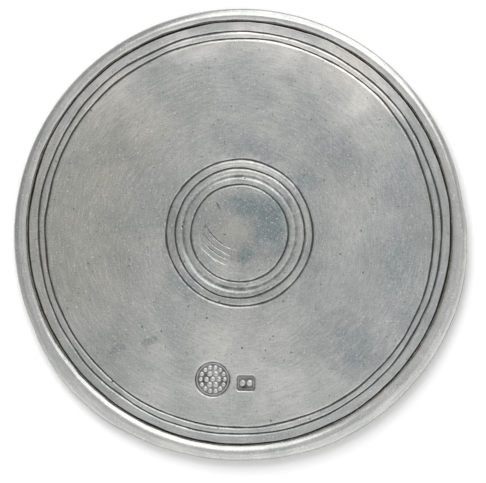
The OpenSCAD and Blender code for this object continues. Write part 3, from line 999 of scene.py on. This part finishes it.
def rim_section(angle):
    """The closed section of the rim at an angle, as points in space."""
    out = np.array([math.cos(angle), math.sin(angle), 0])
    seat = np.array([*SEAT, 0])
    rim = np.array([*RIM_CENTRE, 0])
    up = np.array([0, 0, 1])
    crown = rim + out * (CROWN_R + min(0, knocked(angle) * 0.3))
    reach = BEAD_R + knocked(angle) - min(0, knocked(angle) * 0.3)
    lip_at = BORE_R + unevenness(angle, 1, 0.04 * MM) + stepped(angle, 0.05 * MM)
    bore = seat + out * lip_at
    wall = seat + out * BORE_R
    ledge = seat + out * LEDGE_R
    drop = 0.03 * MM + unevenness(angle, 2, 0.015 * MM)
    flank_r = max(FLANK_R, np.linalg.norm(bore - crown) / STEEPEST_LIP)
    points = []
    for share in np.linspace(0, 1, 16):
        spot = bore + (crown - bore) * share ** 1.3
        inwards = np.linalg.norm(spot - crown)
        height = CROWN_Z - flank_r + math.sqrt(flank_r ** 2 - inwards ** 2)
        lip = LIP_ROUND * max(0, 1 - np.linalg.norm(spot - bore) / LIP_ROUND) ** 2
        points.append(spot + up * (height - lip - drop * (1 - share) ** 2))
    points += [crown + out * across + up * height for across, height in outer_side(reach)]
    points += [ledge + out * 0.15 * MM + up * FOOT_Z, ledge + up * (FOOT_Z + 0.15 * MM),
               ledge + up * (PLATE_Z - 0.05 * MM), ledge + out * 0.05 * MM + up * PLATE_Z,
               wall + up * PLATE_Z, wall + up * ROOT_Z]
    return points


def ring_piece(name, section, steps, material):
    """A closed ring through the sections at equal steps round."""
    loops = [section(math.tau * step / steps) for step in range(steps)]
    count = len(loops[0])
    faces = []
    for step in range(steps):
        here, there = step * count, (step + 1) % steps * count
        for i in range(count):
            j = (i + 1) % count
            faces.append((here + i, here + j, there + j, there + i))
    mesh = bpy.data.meshes.new(name)
    mesh.from_pydata([tuple(point) for loop in loops for point in loop], [], faces)
    mesh.shade_smooth()
    mesh.materials.append(material)
    piece = bpy.data.objects.new(name, mesh)
    scene.collection.objects.link(piece)
    print(f"{name}: {count} points a section, {triangles(piece)} triangles")
    return piece


rim = ring_piece("rim_cast", rim_section, RIM_STEPS, rim_pewter)
lay_open_pits(rim, per_square_cm=3.6, smallest_mm=0.07, largest_mm=0.26, seed=5)

# %% [markdown]
# ## Crisp edges
#
# The turned shapes are shaded smooth, and the cuts need a crisp edge where they break the surface. An
# edge is marked sharp where two faces meet at more than 30 degrees.

# %% Sharp edges
SHARP_TURN = math.radians(30)
for piece in (plate, rim, solder, film, cork_pad):
    piece.data.set_sharp_from_angle(angle=SHARP_TURN)

# %% [markdown]
# ## Light
#
# Metal shows what stands round it, so the light is built as a studio is. The room is even and pale over
# the coaster, which gives the flat field its grey. It grows brighter towards the front, so the outer
# flank of the rim lightens there, and a little low down on both sides of the front. It is dim low down
# on the left, so the rim's left edge goes dark.
# A faint panel overhead lifts the field a little. A bright one stands beyond the coaster, a little to
# the right: every slope that leans that way, on the rim, the rings and the lines, picks it up.
#
# A floor of white card needs light of its own kind: soft from above, with one panel beyond to the left
# that lays the slim shadow to the lower right. Those two panels are kept out of reflections, and the
# first two light no card, so the metal and the shadow are each set without the other.

# %% Panels and room
def soft_panel(name, azimuth, elevation, distance, width, height, radiance, lights="all"):
    """A soft panel in a compass direction (0 is right, 90 is up in the picture) that faces the coaster."""
    light = bpy.data.lights.new(name, "AREA")
    light.shape = "RECTANGLE"
    light.size, light.size_y = width, height
    light.energy = radiance * math.pi * width * height
    a, e = math.radians(azimuth), math.radians(elevation)
    away = Vector((math.cos(a) * math.cos(e), math.sin(a) * math.cos(e), math.sin(e)))
    panel = bpy.data.objects.new(name, light)
    turn = away.to_track_quat("Z", "Y").to_matrix().to_4x4()
    panel.matrix_world = Matrix.Translation(away * distance) @ turn
    panel.visible_camera = False
    panel.visible_glossy = lights != "card"
    panel.visible_diffuse = lights != "metal"
    scene.collection.objects.link(panel)


# Panels as (name, azimuth, elevation, distance, width, height, radiance, what it lights), in degrees
# and metres
for panel_row in (
        ("panel overhead", 90, 90, 1.1, 2.0, 2.0, 0.34, "metal"),
        ("panel beyond", 69, 36, 1.1, 1.05, 1.48, 1.9, "metal"),
        ("panel over the card", 90, 90, 1.1, 1.17, 1.17, 2.1, "card"),
        ("panel for the shadow", 112, 52, 1.2, 0.9, 0.86, 4.4, "card")):
    soft_panel(*panel_row)
print("panels:", len(bpy.data.lights))

# Strengths of the room's parts, and the compass directions that they lie in
ROOM_EVEN = 0.72
ROOM_DIM = 0.34
ROOM_BRIGHT = 1.15
ROOM_FLANKS = 0.62
ROOM_ON_CARD = 0.25
DIM_SIDE = 185
BRIGHT_SIDE = 285
BRIGHT_FLANKS = (212, 352)
world = bpy.data.worlds.new("room")
world.use_nodes = True
room = world.node_tree
direction = add_node(room, "ShaderNodeTexCoord").outputs["Generated"]


def towards(azimuth, start, end, low, high):
    """A strength that changes as a direction turns towards an azimuth on the horizon."""
    side = (math.cos(math.radians(azimuth)), math.sin(math.radians(azimuth)), 0)
    facing = add_node(room, "ShaderNodeVectorMath", {0: direction, 1: side}, operation="DOT_PRODUCT")
    return add_node(room, "ShaderNodeMapRange",
                    {"Value": facing.outputs["Value"], "From Min": start, "From Max": end, "To Min": low,
                     "To Max": high})


strength = add_node(room, "ShaderNodeMath",
                    {0: towards(DIM_SIDE, 0.86, 1.0, ROOM_EVEN, ROOM_DIM),
                     1: towards(BRIGHT_SIDE, 0.1, 1.0, 0.0, ROOM_BRIGHT)}, operation="ADD")
for side in BRIGHT_FLANKS:
    strength = add_node(room, "ShaderNodeMath",
                        {0: strength, 1: towards(side, 0.75, 0.95, 0.0, ROOM_FLANKS)}, operation="ADD")
on_card = add_node(room, "ShaderNodeMapRange",
                   {"Value": add_node(room, "ShaderNodeLightPath").outputs["Is Diffuse Ray"],
                    "To Min": 1.0, "To Max": ROOM_ON_CARD / ROOM_EVEN})
strength = add_node(room, "ShaderNodeMath", {0: strength, 1: on_card}, operation="MULTIPLY")
room.links.new(strength.outputs[0], room.nodes["Background"].inputs["Strength"])
room.nodes["Background"].inputs["Color"].default_value = linear("#ffffff")
scene.world = world


# %% [markdown]
# ## White card
#
# The card is nearly white and lit at a plain level. What is missing to full white is added as a touch
# of its own light, only for the camera, reflections and glass, so it never lights the coaster and the
# shadow stays.

# %% White card
CARD_LIFT = 0.1
CARD_HALF_WIDTH = 3.0


def white_card():
    """A large white floor with a touch of its own light for camera and reflection rays."""
    material, tree, shader = new_material("white card")
    shader.inputs["Base Color"].default_value = linear("#f4f4f4")
    shader.inputs["Roughness"].default_value = 0.9
    shader.inputs["Specular IOR Level"].default_value = 0.0
    ray = add_node(tree, "ShaderNodeLightPath")
    seen = add_node(tree, "ShaderNodeMath",
                    {0: ray.outputs["Is Camera Ray"], 1: ray.outputs["Is Glossy Ray"]}, operation="MAXIMUM")
    seen = add_node(tree, "ShaderNodeMath", {0: seen, 1: ray.outputs["Is Transmission Ray"]},
                    operation="MAXIMUM")
    lift = add_node(tree, "ShaderNodeMath", {0: seen, 1: CARD_LIFT}, operation="MULTIPLY")
    glow = add_node(tree, "ShaderNodeEmission", {"Color": linear("#ffffff"), "Strength": lift})
    both = add_node(tree, "ShaderNodeAddShader", {0: shader, 1: glow})
    output = next(node for node in tree.nodes if node.type == "OUTPUT_MATERIAL")
    tree.links.new(both.outputs[0], output.inputs["Surface"])
    half = CARD_HALF_WIDTH
    mesh = bpy.data.meshes.new("floor")
    mesh.from_pydata([(-half, -half, 0), (half, -half, 0), (half, half, 0), (-half, half, 0)], [],
                     [(0, 1, 2, 3)])
    mesh.materials.append(material)
    floor = bpy.data.objects.new("floor", mesh)
    scene.collection.objects.link(floor)
    return floor


white_card()

# %% [markdown]
# ## Hand the pieces over
#
# Each finished piece rides on the frame's one body and stands for its CAD node, which is hidden.

# %% Ride and replace
for piece, node, slot in ((plate, "plate", "plate_pewter"), (rim, "rim_ring", "rim_pewter"),
                          (solder, "solder_seam", "solder"), (film, "adhesive_film", "adhesive"),
                          (cork_pad, "cork_pad", "cork")):
    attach(piece, "root")
    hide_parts(node)
    print(f"{piece.name} stands for {node}")
